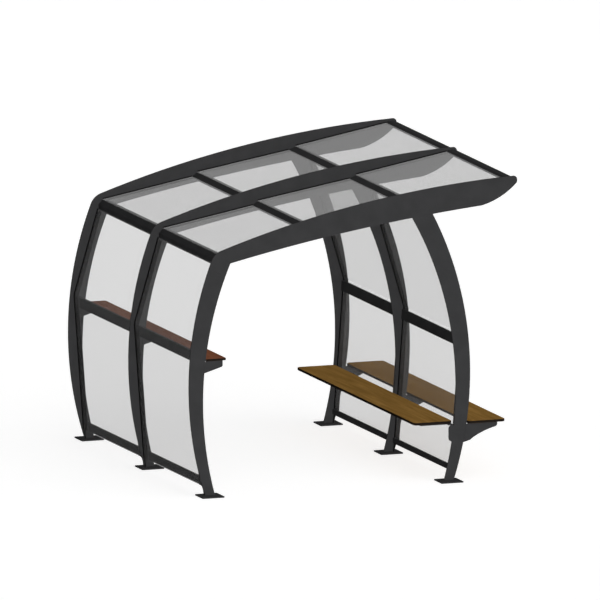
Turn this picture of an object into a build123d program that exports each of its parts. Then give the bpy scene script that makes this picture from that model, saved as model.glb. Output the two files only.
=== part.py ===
from build123d import *
from math import sqrt
import os

# Smoking shelter: three steel portal frames carry two glazed bays.
# X runs across the shelter, from the closed eave side to the raised open side,
# Y runs along it, from frame to frame, and Z is up from the underside of the base plates.
# All lengths are in millimetres.

os.makedirs("parts", exist_ok=True)

# Layout
bay_length = 1428.0
plate_thickness = 10.0
half_plate = plate_thickness / 2
clear_bay = bay_length - plate_thickness
frame_rows = {"front": -bay_length, "middle": 0.0, "rear": bay_length}
glazed_sides = {"front": (1,), "middle": (-1, 1), "rear": (-1,)}
bay_centres = (-bay_length / 2, bay_length / 2)

# Legs: each is a crescent between two arcs, mirrored left to right
outer_radius = 2840.0
outer_bulge = 1213.0
outer_bulge_height = 895.0
inner_radius = 2860.0
inner_bulge = 1089.0
inner_bulge_height = 770.0

# Base plates and their anchor holes
base_size = 190.0
base_thickness = 10.0
base_centre = 1030.0
base_corner_radius = 8.0
anchor_spacing = 140.0
anchor_hole_radius = 7.0

# Roof beam
eave_joint_inner_height = 1806.0
eave_joint_outer_height = 1866.0
inner_corner_height = 1906.0
outer_corner_height = 1994.0
eave_round = 140.0
beam_top_radius = 9150.0
beam_under_radius = 16500.0
under_end = (1313.0, 2253.0)
tip_reach = 1618.0
tip_top_height = 2482.0
tip_nose_height = 2428.0
tip_curve_radius = 620.0
tip_round = 30.0

# The origin stands under the middle of the whole outline
axis_x = (outer_bulge - tip_reach) / 2

# Wall glazing line, on the outer face of the glazing strips
knee_x = 1164.0
knee_height = 1196.0
lower_slope = 0.0741
upper_slope = 0.294
wall_foot_height = 84.0
left_wall_top = 1878.0
left_glass_top = 1894.0
right_wall_top = 2185.0
right_glass_top = 2183.0
glass_thickness = 6.0
glass_edge_gap = 33.0
glass_end_gap = 2.0

# Glazing strips, flat bars that stand out from each side of a frame plate
strip_thickness = 5.0
strip_width = 105.0
strip_foot_width = 32.0
strip_foot_inset = 12.0
strip_throat_radius = 40.0
roof_strip_width = 60.0

# Rails across the wall glass, each given by its bottom and its height
rail_depth = 20.0
rail_round = 3.0
left_bottom_rail = (wall_foot_height, 70.0)
left_mid_rail = (1103.0, 93.0)
right_bottom_rail = (wall_foot_height, 44.0)
right_mid_rail = (1097.0, 85.0)

# Roof sheets, each given by the two ends of its top face
roof_sheet_thickness = 6.0
roof_sheet_gap = 2.0
roof_lines = {
    "lower": ((-915.0, 1967.0), (-146.0, 2107.3)),
    "middle": ((-98.0, 2143.0), (688.0, 2276.5)),
    "upper": ((746.0, 2306.0), (1527.0, 2448.5)),
}

# Purlins and edge rails of the roof
purlin_depth = 16.0
purlin_lap = 26.0
purlin_lip = 6.0
eave_face_x = -951.0
eave_back_x = -885.0
eave_face_height = 1925.0
tip_rail_width = 74.0
tip_rail_depth = 28.0
tip_rail_rise = 12.0
tip_nose_run = 20.0

# Leaning shelf on the left wall
shelf_length = 2864.0
shelf_inner_x = -888.0
shelf_underside = 1113.0
shelf_thickness = 18.0
shelf_corner_radius = 18.0
shelf_rail_gap = 2.0
shelf_slot_width = 14.0
shelf_slot_gap = 4.0
shelf_bracket_tip = -920.0
shelf_bracket_tip_depth = 50.0
shelf_bracket_root_height = 1012.0
shelf_bracket_round = 18.0
shelf_bracket_thickness = 8.0

# Bench seats on both sides of the right wall
inner_bench_length = 2790.0
outer_bench_length = 2900.0
bench_underside = 469.0
bench_thickness = 21.0
bench_corner_radius = 32.0
inner_seat_edges = (744.0, 1072.0)
outer_seat_edges = (1191.0, 1511.0)

# Bench brackets, in the plane of each right leg
lobe_reach = 1028.0
lobe_base_height = 331.0
lobe_round = 28.0
arm_reach = 1446.0
arm_round = 24.0
relief_radius = 5.0
strap_thickness = 8.0
strap_edges = (800.0, 1066.0)
strap_width = 80.0
strap_setback = 40.0


def frame_plane(y):
    """A vertical drawing plane across the shelter, with its normal towards -Y."""
    return Plane(origin=(axis_x, y, 0), x_dir=(1, 0, 0), z_dir=(0, -1, 0))


def outer_x(z):
    """How far the outer edge of a leg stands from the middle of the frame at height z."""
    drop = outer_radius - sqrt(outer_radius**2 - (z - outer_bulge_height) ** 2)
    return outer_bulge - drop


def inner_x(z):
    """How far the inner edge of a leg stands from the middle of the frame at height z."""
    drop = inner_radius - sqrt(inner_radius**2 - (z - inner_bulge_height) ** 2)
    return inner_bulge - drop


def glazing_x(z):
    """The glazing line at height z: two flat facets that meet at the knee."""
    if z > knee_height:
        return knee_x - upper_slope * (z - knee_height)
    return knee_x - lower_slope * (knee_height - z)


# Centre of the arc along the underside of the beam
inner_corner = (-inner_x(inner_corner_height), inner_corner_height)
chord_x = under_end[0] - inner_corner[0]
chord_z = under_end[1] - inner_corner[1]
chord = sqrt(chord_x**2 + chord_z**2)
under_rise = sqrt(beam_under_radius**2 - chord**2 / 4)
under_middle_x = (inner_corner[0] + under_end[0]) / 2
under_centre_x = under_middle_x + under_rise * chord_z / chord
under_centre_z = (inner_corner[1] + under_end[1]) / 2 - under_rise * chord_x / chord


def under_z(x):
    """Height of the underside of the beam at x."""
    return under_centre_z + sqrt(beam_under_radius**2 - (x - under_centre_x) ** 2)


def meet_underside(edge_x):
    """Where an edge of the right leg runs into the underside of the beam."""
    z = right_wall_top
    for _ in range(25):
        z = under_z(edge_x(z))
    return (edge_x(z), z)


def build_leg(side, top_inner, top_outer, y):
    """A crescent of plate from the base plate to the beam, side -1 left or +1 right."""
    foot_inner = (side * inner_x(base_thickness), base_thickness)
    foot_outer = (side * outer_x(base_thickness), base_thickness)
    bulge_inner = (side * inner_bulge, inner_bulge_height)
    bulge_outer = (side * outer_bulge, outer_bulge_height)
    top_middle_x = (top_outer[0] + top_inner[0]) / 2
    with BuildPart() as leg:
        with BuildSketch(frame_plane(y + half_plate)):
            with BuildLine():
                Line(foot_inner, foot_outer)
                ThreePointArc(foot_outer, bulge_outer, top_outer)
                if side < 0:
                    Line(top_outer, top_inner)
                else:
                    ThreePointArc(top_outer, (top_middle_x, under_z(top_middle_x)), top_inner)
                ThreePointArc(top_inner, bulge_inner, foot_inner)
            make_face()
        extrude(amount=plate_thickness)
    return leg.part


def build_beam(y):
    """The roof beam: a deep arched plate with a rounded eave and an upturned tip."""
    joint_inner = (-inner_x(eave_joint_inner_height), eave_joint_inner_height)
    joint_outer = (-outer_x(eave_joint_outer_height), eave_joint_outer_height)
    corner = (-outer_x(outer_corner_height), outer_corner_height)
    nose_top = (tip_reach, tip_top_height)
    nose_under = (tip_reach, tip_nose_height)
    eave_middle_z = (eave_joint_outer_height + outer_corner_height) / 2
    throat_middle_z = (eave_joint_inner_height + inner_corner_height) / 2
    eave_middle = (-outer_x(eave_middle_z), eave_middle_z)
    throat_middle = (-inner_x(throat_middle_z), throat_middle_z)
    with BuildPart() as beam:
        with BuildSketch(frame_plane(y + half_plate)) as profile:
            with BuildLine():
                ThreePointArc(joint_inner, throat_middle, inner_corner)
                ThreePointArc(inner_corner, (under_middle_x, under_z(under_middle_x)), under_end)
                RadiusArc(under_end, nose_under, -tip_curve_radius)
                Line(nose_under, nose_top)
                RadiusArc(nose_top, corner, -beam_top_radius)
                ThreePointArc(corner, eave_middle, joint_outer)
                Line(joint_outer, joint_inner)
            make_face()
            eave_vertex = profile.vertices().sort_by_distance((corner[0], corner[1], 0))[0]
            fillet(eave_vertex, radius=eave_round)
            fillet(profile.vertices().sort_by(Axis.X)[-2:], radius=tip_round)
        extrude(amount=plate_thickness)
    return beam.part


def build_base_plate(side, y):
    """A square foot with four anchor holes."""
    with BuildPart() as base:
        with BuildSketch(Plane.XY):
            with Locations((axis_x + side * base_centre, y)):
                RectangleRounded(base_size, base_size, base_corner_radius)
                with GridLocations(anchor_spacing, anchor_spacing, 2, 2):
                    Circle(anchor_hole_radius, mode=Mode.SUBTRACT)
        extrude(amount=base_thickness)
    return base.part


def strip_outline(side, top):
    """The section of a wall glazing strip: a bent flat bar from the foot to its top."""
    foot_x = glazing_x(wall_foot_height) - strip_foot_inset
    outer = [
        (side * foot_x, base_thickness),
        (side * glazing_x(wall_foot_height), wall_foot_height),
        (side * knee_x, knee_height),
        (side * glazing_x(top), top),
    ]
    inner = [(x - side * strip_thickness, z) for x, z in reversed(outer)]
    return outer + inner


def build_wall_strips(side, top, y, directions):
    """Glazing strips on the sides of a leg that carry glass."""
    cut_width = strip_width - strip_foot_width
    with BuildPart() as strips:
        for direction in directions:
            face_y = y + direction * half_plate
            far_y = face_y + direction * strip_width
            with BuildSketch(frame_plane(max(face_y, far_y))):
                Polygon(*strip_outline(side, top), align=None)
            extrude(amount=strip_width)
            # Below the bottom rail the strip narrows through a rounded throat
            neck_y = face_y + direction * strip_foot_width
            with BuildSketch(Plane.YZ.offset(axis_x)) as throat:
                with Locations(((neck_y + far_y) / 2, wall_foot_height / 2)):
                    Rectangle(cut_width, wall_foot_height)
                top_corners = throat.vertices().group_by(Axis.Y)[-1]
                inner_corner_vertex = top_corners.sort_by_distance((neck_y, wall_foot_height, 0))[0]
                fillet(inner_corner_vertex, radius=strip_throat_radius)
            extrude(amount=side * outer_bulge, mode=Mode.SUBTRACT)
    return strips.part


def build_wall_rail(side, bottom, height, inset):
    """A rail in each bay, its outer face set in from the glazing line by 'inset'."""
    run = clear_bay - 2 * glass_edge_gap
    top = bottom + height
    low_x = glazing_x(bottom) - inset
    high_x = glazing_x(top) - inset
    corners = [
        (side * low_x, bottom),
        (side * high_x, top),
        (side * (high_x - rail_depth), top),
        (side * (low_x - rail_depth), bottom),
    ]
    with BuildPart() as rail:
        for centre in bay_centres:
            with BuildSketch(frame_plane(centre + run / 2)) as section:
                Polygon(*corners, align=None)
                fillet(section.vertices(), radius=rail_round)
            extrude(amount=run)
    return rail.part


def build_wall_glass(side, bottom, top, inset):
    """One flat sheet a bay, its outer face set in from the glazing line by 'inset'."""
    run = clear_bay - 2 * glass_edge_gap
    low_x = glazing_x(bottom) - inset
    high_x = glazing_x(top) - inset
    corners = [
        (side * low_x, bottom),
        (side * high_x, top),
        (side * (high_x - glass_thickness), top),
        (side * (low_x - glass_thickness), bottom),
    ]
    with BuildPart() as glass:
        for centre in bay_centres:
            with BuildSketch(frame_plane(centre + run / 2)):
                Polygon(*corners, align=None)
            extrude(amount=run)
    return glass.part


def build_roof_sheet(start, end):
    """One flat roof sheet a bay, between the frame plates."""
    run = clear_bay - 2 * roof_sheet_gap
    under_start = (start[0], start[1] - roof_sheet_thickness)
    under_end_point = (end[0], end[1] - roof_sheet_thickness)
    with BuildPart() as sheet:
        for centre in bay_centres:
            with BuildSketch(frame_plane(centre + run / 2)):
                Polygon(start, end, under_end_point, under_start, align=None)
            extrude(amount=run)
    return sheet.part


def sheet_underside(tier, x):
    """Height of the underside of a roof sheet, or of its line drawn on, at x."""
    start, end = roof_lines[tier]
    slope = (end[1] - start[1]) / (end[0] - start[0])
    return start[1] + slope * (x - start[0]) - roof_sheet_thickness


def purlin_back_x(upper_tier):
    """Where the purlin ends under the sheet that rests on its top."""
    return roof_lines[upper_tier][0][0] + purlin_lap


def build_roof_strips():
    """Glazing strips under the long edges of the roof sheets, from rail to rail."""
    strip_starts = {
        "lower": eave_back_x,
        "middle": purlin_back_x("middle"),
        "upper": purlin_back_x("upper"),
    }
    with BuildPart() as strips:
        for row, y in frame_rows.items():
            for direction in glazed_sides[row]:
                face_y = y + direction * half_plate
                far_y = face_y + direction * roof_strip_width
                for tier, start_x in strip_starts.items():
                    end_x = roof_lines[tier][1][0]
                    start_z = sheet_underside(tier, start_x)
                    end_z = sheet_underside(tier, end_x)
                    corners = [
                        (start_x, start_z),
                        (end_x, end_z),
                        (end_x, end_z - strip_thickness),
                        (start_x, start_z - strip_thickness),
                    ]
                    with BuildSketch(frame_plane(max(face_y, far_y))):
                        Polygon(*corners, align=None)
                    extrude(amount=roof_strip_width)
    return strips.part


def build_bay_rail(corners):
    """A rail of one section from plate to plate in each bay."""
    with BuildPart() as rail:
        for centre in bay_centres:
            with BuildSketch(frame_plane(centre + clear_bay / 2)):
                Polygon(*corners, align=None)
            extrude(amount=clear_bay)
    return rail.part


def purlin_section(lower_tier, upper_tier):
    """A folded section: the lower sheet ends at its face, the upper one rests on its top."""
    lower_end = roof_lines[lower_tier][1]
    nose_x = roof_lines[upper_tier][0][0] - purlin_lip
    back_x = purlin_back_x(upper_tier)
    base_z = lower_end[1] - purlin_depth
    return [
        (lower_end[0], base_z),
        lower_end,
        (nose_x, sheet_underside(upper_tier, nose_x)),
        (back_x, sheet_underside(upper_tier, back_x)),
        (back_x, base_z),
    ]


def eave_section():
    """The eave rail: an upright face above the wall glass and a sloping nose under the roof."""
    nose_x = roof_lines["lower"][0][0] - purlin_lip
    return [
        (eave_face_x, left_wall_top),
        (eave_face_x, eave_face_height),
        (nose_x, sheet_underside("lower", nose_x)),
        (eave_back_x, sheet_underside("lower", eave_back_x)),
        (eave_back_x, left_wall_top),
    ]


def tip_section():
    """The rail along the open edge of the roof, between the tips of the beams."""
    end_x, end_z = roof_lines["upper"][1]
    top_z = end_z + tip_rail_rise
    low_z = top_z - tip_rail_depth
    right_x = end_x + tip_rail_width
    nose = (end_x + tip_nose_run, top_z)
    return [(end_x, low_z), (end_x, end_z), nose, (right_x, top_z), (right_x, low_z)]


def build_seat(edges, length):
    """A timber seat board with rounded corners, laid along the shelter."""
    with BuildPart() as board:
        with BuildSketch(Plane.XY.offset(bench_underside)):
            with Locations((axis_x + sum(edges) / 2, 0)):
                RectangleRounded(edges[1] - edges[0], length, bench_corner_radius)
        extrude(amount=bench_thickness)
    return board.part


def build_shelf():
    """The leaning shelf, slotted around the left legs and laid behind the mid rail."""
    back_x = -(glazing_x(shelf_underside) - strip_thickness - rail_depth - shelf_rail_gap)
    slot_end_x = -inner_x(shelf_underside) + shelf_slot_gap
    slot_run = slot_end_x - back_x
    slot_x = axis_x + (slot_end_x + back_x) / 2
    slot_points = [(slot_x, y) for y in frame_rows.values()]
    with BuildPart() as board:
        with BuildSketch(Plane.XY.offset(shelf_underside)):
            with Locations((axis_x + (back_x + shelf_inner_x) / 2, 0)):
                RectangleRounded(shelf_inner_x - back_x, shelf_length, shelf_corner_radius)
            with Locations(*slot_points):
                Rectangle(slot_run, shelf_slot_width, mode=Mode.SUBTRACT)
        extrude(amount=shelf_thickness)
    return board.part


def build_shelf_brackets(legs):
    """Tapered gussets under the shelf, butted to the inner edges of the left legs."""
    top = shelf_underside
    tip_low = top - shelf_bracket_tip_depth
    root_x = -inner_bulge
    corners = [
        (root_x, top),
        (shelf_bracket_tip, top),
        (shelf_bracket_tip, tip_low),
        (root_x, shelf_bracket_root_height),
    ]
    with BuildPart() as brackets:
        for y in frame_rows.values():
            with BuildSketch(frame_plane(y + shelf_bracket_thickness / 2)) as profile:
                Polygon(*corners, align=None)
                tip_vertex = profile.vertices().sort_by_distance((shelf_bracket_tip, tip_low, 0))[0]
                fillet(tip_vertex, radius=shelf_bracket_round)
                with Locations((-inner_x(top), top)):
                    Circle(relief_radius, mode=Mode.SUBTRACT)
            extrude(amount=shelf_bracket_thickness)
        add(legs, mode=Mode.SUBTRACT)
    return brackets.part


def build_bench_brackets(legs):
    """Profiled plates on the right legs: a lobe under the inner seat, an arm under the outer."""
    lobe_top = bench_underside - strap_thickness
    hidden_x = (inner_bulge + outer_bulge) / 2
    arm_low = (1405.0, 424.0)
    arm_waist = (1290.0, 380.0)
    arm_neck = (1240.0, 353.0)
    arm_heel = (1213.0, 332.0)
    root = (1153.0, 315.0)
    with BuildPart() as brackets:
        for y in frame_rows.values():
            with BuildSketch(frame_plane(y + half_plate)) as profile:
                with BuildLine():
                    Line((lobe_reach, lobe_base_height), (lobe_reach, lobe_top))
                    Line((lobe_reach, lobe_top), (hidden_x, lobe_top))
                    Line((hidden_x, lobe_top), (hidden_x, bench_underside))
                    Line((hidden_x, bench_underside), (arm_reach, bench_underside))
                    Line((arm_reach, bench_underside), (arm_reach, arm_low[1] + 10))
                    Line((arm_reach, arm_low[1] + 10), arm_low)
                    ThreePointArc(arm_low, arm_waist, arm_neck)
                    Line(arm_neck, arm_heel)
                    Line(arm_heel, root)
                    Line(root, (lobe_reach, lobe_base_height))
                make_face()
                fillet(profile.vertices().group_by(Axis.X)[0], radius=lobe_round)
                end_corner = (arm_reach, arm_low[1] + 10, 0)
                fillet(profile.vertices().sort_by_distance(end_corner)[0], radius=arm_round)
                with Locations((outer_x(bench_underside) + relief_radius, bench_underside)):
                    Circle(relief_radius, mode=Mode.SUBTRACT)
            extrude(amount=plate_thickness)
        add(legs, mode=Mode.SUBTRACT)
    return brackets.part


def build_bench_straps():
    """Flat straps on the lobes that carry the inner seat, set back from its ends."""
    strap_middle_x = axis_x + sum(strap_edges) / 2
    strap_run = strap_edges[1] - strap_edges[0]
    tab_run = strap_edges[1] - lobe_reach
    tab_x = axis_x + (strap_edges[1] + lobe_reach) / 2
    with BuildPart() as straps:
        with BuildSketch(Plane.XY.offset(bench_underside - strap_thickness)):
            with Locations((strap_middle_x, 0)):
                Rectangle(strap_run, strap_width)
            for end in (-1, 1):
                strap_y = end * (bay_length - strap_setback - strap_width / 2)
                with Locations((strap_middle_x, strap_y)):
                    Rectangle(strap_run, strap_width)
                tab_width = strap_setback + half_plate
                with Locations((tab_x, end * (bay_length + half_plate - tab_width / 2))):
                    Rectangle(tab_run, tab_width)
        extrude(amount=strap_thickness)
    return straps.part


def save(part, name):
    """Label a finished piece and write it out."""
    part.label = name
    export_step(part, f"parts/{name}.step")


left_top_inner = (-inner_x(eave_joint_inner_height), eave_joint_inner_height)
left_top_outer = (-outer_x(eave_joint_outer_height), eave_joint_outer_height)
right_top_inner = meet_underside(inner_x)
right_top_outer = meet_underside(outer_x)
left_legs = []
right_legs = []

# Frames, with their strips and base plates
for row, y in frame_rows.items():
    left_legs.append(build_leg(-1, left_top_inner, left_top_outer, y))
    right_legs.append(build_leg(1, right_top_inner, right_top_outer, y))
    save(left_legs[-1], f"left_leg_{row}")
    save(right_legs[-1], f"right_leg_{row}")
    save(build_beam(y), f"roof_beam_{row}")
    save(build_base_plate(-1, y), f"left_base_plate_{row}")
    save(build_base_plate(1, y), f"right_base_plate_{row}")
    save(build_wall_strips(-1, left_wall_top, y, glazed_sides[row]), f"left_glazing_strip_{row}")
    save(build_wall_strips(1, right_wall_top, y, glazed_sides[row]), f"right_glazing_strip_{row}")

# Walls: on the left the glass lies outside the strips and the rails inside them,
# on the right the glass lies on the inner face of the strips and the rails on the glass
glass_insets = {"left": -glass_thickness, "right": strip_thickness}
rail_insets = {"left": strip_thickness, "right": strip_thickness + glass_thickness}
wall_sides = {"left": -1, "right": 1}
glass_tops = {"left": left_glass_top, "right": right_glass_top}
bottom_rails = {"left": left_bottom_rail, "right": right_bottom_rail}
mid_rails = {"left": left_mid_rail, "right": right_mid_rail}
for wall, side in wall_sides.items():
    inset = glass_insets[wall]
    knee_low = knee_height - glass_end_gap
    knee_high = knee_height + glass_end_gap
    save(build_wall_glass(side, wall_foot_height, knee_low, inset), f"{wall}_lower_glass")
    save(build_wall_glass(side, knee_high, glass_tops[wall], inset), f"{wall}_upper_glass")
    save(build_wall_rail(side, *bottom_rails[wall], rail_insets[wall]), f"{wall}_bottom_rail")
    save(build_wall_rail(side, *mid_rails[wall], rail_insets[wall]), f"{wall}_mid_rail")

# Roof
for tier, (start, end) in roof_lines.items():
    save(build_roof_sheet(start, end), f"{tier}_roof_sheet")
save(build_roof_strips(), "roof_glazing_strips")
save(build_bay_rail(eave_section()), "eave_rail")
save(build_bay_rail(purlin_section("lower", "middle")), "lower_purlin")
save(build_bay_rail(purlin_section("middle", "upper")), "upper_purlin")
save(build_bay_rail(tip_section()), "tip_rail")

# Shelf and benches
save(build_shelf(), "leaning_shelf")
save(build_shelf_brackets(left_legs), "shelf_brackets")
save(build_seat(inner_seat_edges, inner_bench_length), "inner_bench_seat")
save(build_seat(outer_seat_edges, outer_bench_length), "outer_bench_seat")
save(build_bench_brackets(right_legs), "bench_brackets")
save(build_bench_straps(), "bench_straps")
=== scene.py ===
import math

import bmesh
import bpy
from mathutils import Matrix, Vector


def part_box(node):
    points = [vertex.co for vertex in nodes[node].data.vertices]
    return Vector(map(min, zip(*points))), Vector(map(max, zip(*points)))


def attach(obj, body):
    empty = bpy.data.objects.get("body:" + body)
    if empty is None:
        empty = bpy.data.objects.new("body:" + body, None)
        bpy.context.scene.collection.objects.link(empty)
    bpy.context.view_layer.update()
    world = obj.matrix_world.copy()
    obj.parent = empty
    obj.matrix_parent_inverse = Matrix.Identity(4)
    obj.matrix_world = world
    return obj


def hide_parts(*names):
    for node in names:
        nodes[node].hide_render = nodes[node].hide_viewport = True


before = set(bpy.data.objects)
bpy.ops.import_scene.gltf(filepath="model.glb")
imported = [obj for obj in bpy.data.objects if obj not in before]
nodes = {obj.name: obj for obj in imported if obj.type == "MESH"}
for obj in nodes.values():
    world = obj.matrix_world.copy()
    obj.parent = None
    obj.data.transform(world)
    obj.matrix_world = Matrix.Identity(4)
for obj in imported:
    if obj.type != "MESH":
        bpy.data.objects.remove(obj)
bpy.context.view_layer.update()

GLASS_NODES = [n for n in nodes if n.endswith("_glass")]
ROOF_SHEET_NODES = [n for n in nodes if n.endswith("_roof_sheet")]
BEAM_NODES = ["roof_beam_front", "roof_beam_middle", "roof_beam_rear"]
SEAT_NODES = ["inner_bench_seat", "outer_bench_seat"]
SHELF_NODE = "leaning_shelf"
BOARD_NODES = SEAT_NODES + [SHELF_NODE]
STEEL_NODES = [n for n in nodes if n not in GLASS_NODES + ROOF_SHEET_NODES + BOARD_NODES]

# Eased edges: widths in metres, angles in degrees
STEEL_EDGE = 0.0010
BOARD_EDGE = 0.0015
EDGE_SEGMENTS = 2
SHARP_EDGE_ANGLE = 35
SMOOTH_ANGLE = 30
FLAT_ANGLE = 0.3
MERGE_DISTANCE = 0.00001

# How far the timber's figure and pores are drawn out along the board
FIGURE_STRETCH = (9, 0.55, 9)
PORE_STRETCH = (14, 0.7, 14)

# Rubber seals, which also serve as painted shade in the gaps, in metres
ROOF_SEAL_WIDTH = 0.012
ROOF_SEAL_HEIGHT = 0.008
PANE_SEAL_WIDTH = 0.028
SHEET_THICKNESS = 0.006

# Along Y, from each side of a bay towards its middle: front bay, then rear bay
INTO_BAY = (1, -1, 1, -1)

# The panes lean differently, and each is the same glass with its own grey and density,
# painted shade and reflection for how the light falls on it at its slant:
# the grey that each adds, and the share of light that each face keeps back
PANE_PAINTED_SHADES = {
    "left_upper_glass": (0.32, 0.197),
    "left_lower_glass": (0.18, 0.204),
    "right_upper_glass": (0.22, 0.241),
    "right_lower_glass": (0.40, 0.222),
}

FLOOR_REACH = 60
FLOOR_DROP = 0.0005
SKY_LIGHT = 0.14

# Camera: nearly level view from the front left, without perspective
VIEW_AZIMUTH = math.radians(-20)
VIEW_ELEVATION = math.radians(10)
VIEW_WIDTH = 4.86
VIEW_RIGHT = 0.0607
VIEW_UP = 1.2852
VIEW_DISTANCE = 12


def new_material(name):
    """An empty node material with its output and principled shader."""
    material = bpy.data.materials.new(name)
    material.use_nodes = True
    tree = material.node_tree
    shader = tree.nodes["Principled BSDF"]
    return material, tree, shader


def object_noise(tree, scale, detail, stretch=(1, 1, 1)):
    """Noise in the object's own coordinates, stretched along its axes."""
    coords = tree.nodes.new("ShaderNodeTexCoord")
    mapping = tree.nodes.new("ShaderNodeMapping")
    mapping.inputs["Scale"].default_value = stretch
    noise = tree.nodes.new("ShaderNodeTexNoise")
    noise.inputs["Scale"].default_value = scale
    noise.inputs["Detail"].default_value = detail
    tree.links.new(coords.outputs["Object"], mapping.inputs["Vector"])
    tree.links.new(mapping.outputs["Vector"], noise.inputs["Vector"])
    return noise


def tone_ramp(tree, source, stops):
    """A colour ramp over a noise value."""
    ramp = tree.nodes.new("ShaderNodeValToRGB")
    elements = ramp.color_ramp.elements
    while len(elements) < len(stops):
        elements.new(0.5)
    for element, (position, colour) in zip(elements, stops):
        element.position = position
        element.color = (*colour, 1)
    tree.links.new(source, ramp.inputs["Fac"])
    return ramp


def surface_bump(tree, shader, source, strength, distance):
    bump = tree.nodes.new("ShaderNodeBump")
    bump.inputs["Strength"].default_value = strength
    bump.inputs["Distance"].default_value = distance
    tree.links.new(source, bump.inputs["Height"])
    tree.links.new(bump.outputs["Normal"], shader.inputs["Normal"])


def powder_coat(name, colour):
    """Dark powder coat on steel: matt, without gloss, with a faint orange-peel surface."""
    material, tree, shader = new_material(name)
    cloud = object_noise(tree, 7, 3)
    darker = tuple(c * 0.92 for c in colour)
    lighter = tuple(c * 1.08 for c in colour)
    ramp = tone_ramp(tree, cloud.outputs["Fac"], [(0.3, darker), (0.7, lighter)])
    tree.links.new(ramp.outputs["Color"], shader.inputs["Base Color"])
    shader.inputs["Roughness"].default_value = 0.6
    shader.inputs["Specular IOR Level"].default_value = 0.0
    peel = object_noise(tree, 900, 2)
    surface_bump(tree, shader, peel.outputs["Fac"], 0.05, 0.0003)
    return material


def clear_sheet(name, colour, alpha, roughness):
    """A see-through sheet: part of the light passes straight through each face."""
    material, tree, shader = new_material(name)
    shader.inputs["Base Color"].default_value = (*colour, 1)
    shader.inputs["Alpha"].default_value = alpha
    shader.inputs["Specular IOR Level"].default_value = 0.0
    shader.inputs["Roughness"].default_value = roughness
    return material


def timber(name, dark, mid, light, roughness):
    """Oiled timber with its grain along the board."""
    material, tree, shader = new_material(name)
    figure = object_noise(tree, 3.2, 5, FIGURE_STRETCH)
    figure.inputs["Distortion"].default_value = 0.5
    ramp = tone_ramp(
        tree, figure.outputs["Fac"], [(0.30, dark), (0.52, mid), (0.74, light)]
    )
    pores = object_noise(tree, 60, 3, PORE_STRETCH)
    pore_ramp = tone_ramp(
        tree, pores.outputs["Fac"], [(0.42, (0.72, 0.72, 0.72)), (0.58, (1, 1, 1))]
    )
    blend = tree.nodes.new("ShaderNodeMix")
    blend.data_type = "RGBA"
    blend.blend_type = "MULTIPLY"
    blend.inputs["Factor"].default_value = 0.6
    tree.links.new(ramp.outputs["Color"], blend.inputs["A"])
    tree.links.new(pore_ramp.outputs["Color"], blend.inputs["B"])
    tree.links.new(blend.outputs["Result"], shader.inputs["Base Color"])
    shader.inputs["Roughness"].default_value = roughness
    shader.inputs["Specular IOR Level"].default_value = 0.0
    surface_bump(tree, shader, pores.outputs["Fac"], 0.12, 0.0006)
    return material


def plain_finish(name, colour, roughness):
    material, tree, shader = new_material(name)
    shader.inputs["Base Color"].default_value = (*colour, 1)
    shader.inputs["Roughness"].default_value = roughness
    shader.inputs["Specular IOR Level"].default_value = 0.0
    return material


def sight_rays(tree):
    """A value of 1 for rays that see the surroundings and 0 for rays that light."""
    ray = tree.nodes.new("ShaderNodeLightPath")
    total = ray.outputs["Is Camera Ray"]
    for kind in ("Is Glossy Ray", "Is Transmission Ray"):
        larger = tree.nodes.new("ShaderNodeMath")
        larger.operation = "MAXIMUM"
        tree.links.new(total, larger.inputs[0])
        tree.links.new(ray.outputs[kind], larger.inputs[1])
        total = larger.outputs["Value"]
    return total


def pale_floor(name, shade, glow):
    """A white ground: part of it is seen as an even white, and the rest takes shadow."""
    material, tree, shader = new_material(name)
    shader.inputs["Base Color"].default_value = (shade, shade, shade, 1)
    shader.inputs["Roughness"].default_value = 0.9
    shader.inputs["Specular IOR Level"].default_value = 0.0
    shader.inputs["Emission Color"].default_value = (1, 1, 1, 1)
    amount = tree.nodes.new("ShaderNodeMath")
    amount.operation = "MULTIPLY"
    amount.inputs[1].default_value = glow
    tree.links.new(sight_rays(tree), amount.inputs[0])
    tree.links.new(amount.outputs["Value"], shader.inputs["Emission Strength"])
    return material


steel_coat = powder_coat("steel_coat", (0.0335, 0.0335, 0.0345))
# Near-black rubber for the seals and pane ends, which also serves as painted shade in the
# gaps
seal_and_painted_shade = plain_finish("seal_and_painted_shade", (0.010, 0.010, 0.010), 0.7)
roof_sheet = clear_sheet("roof_sheet", (0.50, 0.50, 0.50), 0.40, 0.35)
seat_timber = timber(
    "seat_timber", (0.195, 0.105, 0.025), (0.255, 0.139, 0.036), (0.315, 0.175, 0.047), 0.5
)
shelf_timber = timber(
    "shelf_timber", (0.165, 0.060, 0.032), (0.209, 0.079, 0.042), (0.252, 0.098, 0.052), 0.5
)
board_edge = plain_finish("board_edge", (0.012, 0.009, 0.007), 0.55)


def dressed_copy(node, bevel_width, materials):
    """A copy of a solid with its sharp edges eased, shown in its place."""
    mesh = nodes[node].data.copy()
    mesh.name = node + "_eased"
    work = bmesh.new()
    work.from_mesh(mesh)
    bmesh.ops.remove_doubles(work, verts=work.verts, dist=MERGE_DISTANCE)
    bmesh.ops.dissolve_limit(
        work, angle_limit=math.radians(FLAT_ANGLE), verts=work.verts, edges=work.edges
    )
    work.to_mesh(mesh)
    work.free()
    mesh.materials.clear()
    for material in materials:
        mesh.materials.append(material)
    piece = bpy.data.objects.new(node + "_eased", mesh)
    bpy.context.scene.collection.objects.link(piece)
    bevel = piece.modifiers.new("eased_edges", "BEVEL")
    bevel.width = bevel_width
    bevel.segments = EDGE_SEGMENTS
    bevel.limit_method = "ANGLE"
    bevel.angle_limit = math.radians(SHARP_EDGE_ANGLE)
    bevel.harden_normals = True
    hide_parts(node)
    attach(piece, "root")
    return piece


def shade_by_angle(piece):
    """Smooth the curved faces and keep the flat ones crisp."""
    mesh = piece.data
    mesh.shade_smooth()
    mesh.set_sharp_from_angle(angle=math.radians(SMOOTH_ANGLE))


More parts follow.
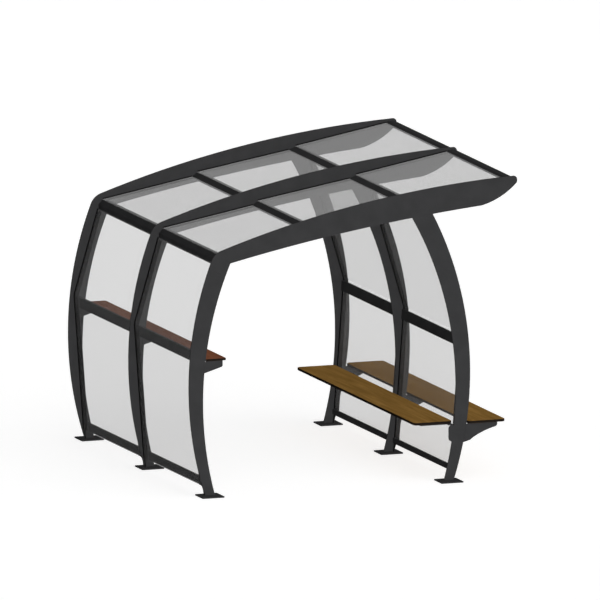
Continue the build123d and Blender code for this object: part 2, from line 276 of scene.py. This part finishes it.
for node in STEEL_NODES:
    piece = dressed_copy(node, STEEL_EDGE, [steel_coat])
    shade_by_angle(piece)

# The flat faces of a board show the timber, and its side faces are dark
for node in BOARD_NODES:
    top = shelf_timber if node == SHELF_NODE else seat_timber
    piece = dressed_copy(node, BOARD_EDGE, [top, board_edge])
    for face in piece.data.polygons:
        face.material_index = 0 if abs(face.normal.z) > 0.5 else 1
    shade_by_angle(piece)

# The end faces of a pane are black: the rubber's own colour, and painted shade that hides
# their lit ends
for node in GLASS_NODES:
    # This pane's grey and density are painted shade, given pane by pane
    grey, density = PANE_PAINTED_SHADES[node]
    pane = nodes[node].data
    pane.materials.clear()
    pane.materials.append(clear_sheet(node, (grey, grey, grey), density, 0.1))
    pane.materials.append(seal_and_painted_shade)
    for face in pane.polygons:
        face.material_index = 1 if abs(face.normal.y) > 0.9 else 0
for node in ROOF_SHEET_NODES:
    nodes[node].data.materials.clear()
    nodes[node].data.materials.append(roof_sheet)


def add_seals_and_painted_shade(node, start, end, beads, height):
    """Straight black beads from start to end, rubber seals that also serve as painted
    shade, each given by its two sides along Y.
    """
    run = end - start
    turn = Matrix.Rotation(-math.atan2(run.z, run.x), 4, "Y")
    mesh = bpy.data.meshes.new(node + "_seals")
    work = bmesh.new()
    for side_a, side_b in beads:
        middle = (start + end) / 2
        middle.y = (side_a + side_b) / 2
        size = Matrix.Diagonal((run.length, abs(side_b - side_a), height, 1))
        bmesh.ops.create_cube(work, size=1, matrix=Matrix.Translation(middle) @ turn @ size)
    work.to_mesh(mesh)
    work.free()
    mesh.materials.append(seal_and_painted_shade)
    piece = bpy.data.objects.new(node + "_seals", mesh)
    bpy.context.scene.collection.objects.link(piece)
    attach(piece, "root")


# On the roof the beads lie on the sheets, against the sides of the beams, as rubber seals
# and as painted shade along the beams
beam_sides = [y for beam in BEAM_NODES for y in (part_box(beam)[0].y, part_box(beam)[1].y)]
roof_beads = [
    (y, y + inwards * ROOF_SEAL_WIDTH) for y, inwards in zip(beam_sides[1:-1], INTO_BAY)
]
for node in ROOF_SHEET_NODES:
    low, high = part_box(node)
    lift = SHEET_THICKNESS + ROOF_SEAL_HEIGHT / 2
    start = Vector((low.x, 0, low.z + lift))
    end = Vector((high.x, 0, high.z - SHEET_THICKNESS + lift))
    add_seals_and_painted_shade(node, start, end, roof_beads, ROOF_SEAL_HEIGHT)

# On the walls they all but fill the gaps between the panes and the legs, as rubber seals
# and as painted shade in those gaps.
# A lower pane leans outwards from its foot, and an upper pane leans back in.
for node in GLASS_NODES:
    low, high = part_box(node)
    side = -1 if node.startswith("left") else 1
    reach = sorted((abs(low.x), abs(high.x)))
    half_pane = SHEET_THICKNESS / 2
    foot_x, head_x = reach[0] + half_pane, reach[1] - half_pane
    if "upper" in node:
        foot_x, head_x = head_x, foot_x
    start = Vector((side * foot_x, 0, low.z))
    end = Vector((side * head_x, 0, high.z))
    edge_gap = low.y - beam_sides[1]
    edges = [low.y, beam_sides[2] - edge_gap, beam_sides[3] + edge_gap, high.y]
    pane_beads = [(y, y - inwards * PANE_SEAL_WIDTH) for y, inwards in zip(edges, INTO_BAY)]
    add_seals_and_painted_shade(node, start, end, pane_beads, SHEET_THICKNESS)


# Floor and light
floor_mesh = bpy.data.meshes.new("floor")
floor_work = bmesh.new()
bmesh.ops.create_grid(floor_work, x_segments=1, y_segments=1, size=FLOOR_REACH)
floor_work.to_mesh(floor_mesh)
floor_work.free()
floor = bpy.data.objects.new("floor", floor_mesh)
bpy.context.scene.collection.objects.link(floor)
floor_mesh.materials.append(pale_floor("floor_finish", 0.85, 0.43))
floor_mesh.transform(Matrix.Translation((0, 0, -FLOOR_DROP)))


def sun(name, azimuth, elevation, strength, softness, casts_shadow):
    """A soft sun that shines from the given side, azimuth 0 from -Y and 90 from +X."""
    lamp = bpy.data.lights.new(name, "SUN")
    lamp.energy = strength
    lamp.angle = math.radians(softness)
    lamp.use_shadow = casts_shadow
    piece = bpy.data.objects.new(name, lamp)
    bpy.context.scene.collection.objects.link(piece)
    a, e = math.radians(azimuth), math.radians(elevation)
    towards = Vector((math.sin(a) * math.cos(e), -math.cos(a) * math.cos(e), math.sin(e)))
    piece.rotation_mode = "QUATERNION"
    piece.rotation_quaternion = (-towards).to_track_quat("-Z", "Y")


sun("front_light", 8, 16, 2.7, 20, False)
sun("side_fill", -80, 10, 0.15, 20, False)
sun("top_fill", 0, 80, 0.34, 20, False)
sun("back_fill", 168, 8, 1.9, 20, False)
sun("soft_key", 20, 45, 0.5, 70, True)

world = bpy.data.worlds.new("studio")
bpy.context.scene.world = world
world.use_nodes = True
sky = world.node_tree
background = sky.nodes["Background"]
level = sky.nodes.new("ShaderNodeMapRange")
level.inputs["To Min"].default_value = SKY_LIGHT
level.inputs["To Max"].default_value = 1.0
background.inputs["Color"].default_value = (1, 1, 1, 1)
sky.links.new(sight_rays(sky), level.inputs["Value"])
sky.links.new(level.outputs["Result"], background.inputs["Strength"])

# Camera
right = Vector((math.cos(VIEW_AZIMUTH), math.sin(VIEW_AZIMUTH), 0))
back = Vector(
    (
        math.sin(VIEW_AZIMUTH) * math.cos(VIEW_ELEVATION),
        -math.cos(VIEW_AZIMUTH) * math.cos(VIEW_ELEVATION),
        math.sin(VIEW_ELEVATION),
    )
)
up = back.cross(right)
camera_data = bpy.data.cameras.new("camera")
camera_data.type = "ORTHO"
camera_data.ortho_scale = VIEW_WIDTH
camera_data.clip_end = 200
camera = bpy.data.objects.new("camera", camera_data)
bpy.context.scene.collection.objects.link(camera)
camera.location = right * VIEW_RIGHT + up * VIEW_UP + back * VIEW_DISTANCE
camera.rotation_mode = "QUATERNION"
camera.rotation_quaternion = (-back).to_track_quat("-Z", "Y")
bpy.context.scene.camera = camera

bpy.context.scene.view_settings.view_transform = "Standard"
